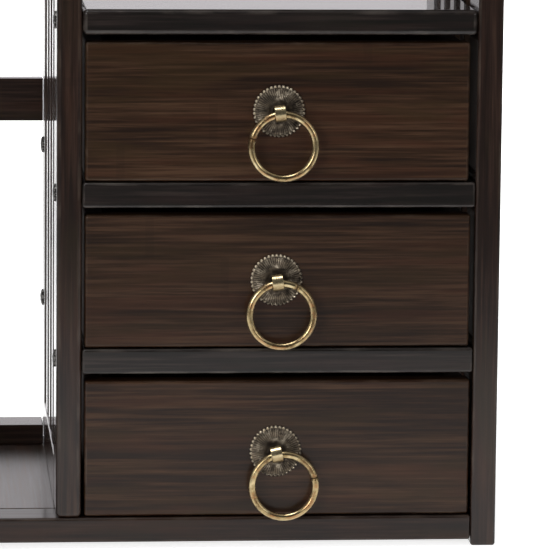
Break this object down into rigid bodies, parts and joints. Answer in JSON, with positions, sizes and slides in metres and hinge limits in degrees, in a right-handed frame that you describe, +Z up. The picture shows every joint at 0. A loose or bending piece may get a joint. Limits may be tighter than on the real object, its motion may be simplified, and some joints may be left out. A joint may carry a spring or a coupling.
{
  "type": "apothecary cabinet",
  "caption": "Tabletop cabinet of dark lacquered bamboo with a column of ring-pull drawers under an open niche, beside an open bay with slatted sides.",
  "frame": {"origin": "on the table, at the middle of the whole box, pull rings included", "axes": "+X to the right along the width, +Y from the front to the back, +Z up"},
  "size_m": [0.56, 0.2186, 0.392],
  "materials": {
    "carcass_bamboo": "gloss lacquered dark walnut-stained bamboo",
    "divider_bamboo": "gloss lacquered near-black bamboo",
    "drawer_bamboo": "satin lacquered dark brown bamboo with horizontal grain",
    "drawer_box_wood": "dull dark-stained plain bamboo",
    "bronze_plate": "dark antique bronze",
    "antique_brass": "aged brass, bright on the high spots",
    "black_screw": "black oxide"
  },
  "bodies": {
    "carcass": {"left_side_front_stile": "carcass_bamboo", "left_side_rear_stile": "carcass_bamboo", "left_side_bottom_rail": "carcass_bamboo", "left_side_top_rail": "carcass_bamboo", "left_side_slat_1": "carcass_bamboo", "left_side_slat_2": "carcass_bamboo", "left_side_slat_3": "carcass_bamboo", "partition_front_stile": "carcass_bamboo", "partition_rear_stile": "carcass_bamboo", "partition_bottom_rail": "carcass_bamboo", "partition_top_rail": "carcass_bamboo", "partition_slat_1": "carcass_bamboo", "partition_slat_2": "carcass_bamboo", "partition_slat_3": "carcass_bamboo", "right_side_front_stile": "carcass_bamboo", "right_side_rear_stile": "carcass_bamboo", "right_side_bottom_rail": "carcass_bamboo", "right_side_top_rail": "carcass_bamboo", "right_side_slat_1": "carcass_bamboo", "right_side_slat_2": "carcass_bamboo", "right_side_slat_3": "carcass_bamboo", "bottom_front_rail": "carcass_bamboo", "bottom_panel": "carcass_bamboo", "top_board": "carcass_bamboo", "rear_floor_rail": "carcass_bamboo", "rear_cross_rail": "carcass_bamboo", "drawer_shelf": "divider_bamboo", "upper_divider": "divider_bamboo", "lower_divider": "divider_bamboo", "drawer_back_panel": "drawer_box_wood", "shelf_front_screw": "black_screw", "shelf_rear_screw": "black_screw", "upper_front_screw": "black_screw", "upper_rear_screw": "black_screw", "lower_front_screw": "black_screw", "lower_rear_screw": "black_screw"},
    "top_drawer": {"top_drawer_front": "drawer_bamboo", "top_drawer_left_side": "drawer_box_wood", "top_drawer_right_side": "drawer_box_wood", "top_drawer_back": "drawer_box_wood", "top_drawer_bottom": "drawer_box_wood", "top_drawer_backplate": "bronze_plate", "top_drawer_eye": "antique_brass"},
    "top_ring": {"top_drawer_ring": "antique_brass"},
    "middle_drawer": {"middle_drawer_front": "drawer_bamboo", "middle_drawer_left_side": "drawer_box_wood", "middle_drawer_right_side": "drawer_box_wood", "middle_drawer_back": "drawer_box_wood", "middle_drawer_bottom": "drawer_box_wood", "middle_drawer_backplate": "bronze_plate", "middle_drawer_eye": "antique_brass"},
    "middle_ring": {"middle_drawer_ring": "antique_brass"},
    "bottom_drawer": {"bottom_drawer_front": "drawer_bamboo", "bottom_drawer_left_side": "drawer_box_wood", "bottom_drawer_right_side": "drawer_box_wood", "bottom_drawer_back": "drawer_box_wood", "bottom_drawer_bottom": "drawer_box_wood", "bottom_drawer_backplate": "bronze_plate", "bottom_drawer_eye": "antique_brass"},
    "bottom_ring": {"bottom_drawer_ring": "antique_brass"}
  },
  "joints": [
    {"name": "top_drawer_slide", "type": "slide", "parent": "carcass", "child": "top_drawer", "axis": [0, -1, 0], "range_m": [0, 0.14]},
    {"name": "top_ring_swing", "type": "hinge", "parent": "top_drawer", "child": "top_ring", "pos_m": [0.17401, -0.10577, 0.20891], "axis": [-0.9936, 0, -0.1132], "range_deg": [-5, 160]},
    {"name": "middle_drawer_slide", "type": "slide", "parent": "carcass", "child": "middle_drawer", "axis": [0, -1, 0], "range_m": [0, 0.14]},
    {"name": "middle_ring_swing", "type": "hinge", "parent": "middle_drawer", "child": "middle_ring", "pos_m": [0.17356, -0.10577, 0.12846], "axis": [-0.9914, 0, -0.1305], "range_deg": [-5, 160]},
    {"name": "bottom_drawer_slide", "type": "slide", "parent": "carcass", "child": "bottom_drawer", "axis": [0, -1, 0], "range_m": [0, 0.14]},
    {"name": "bottom_ring_swing", "type": "hinge", "parent": "bottom_drawer", "child": "bottom_ring", "pos_m": [0.17395, -0.10577, 0.04578], "axis": [-0.9744, 0, -0.225], "range_deg": [-5, 160]}
  ]
}
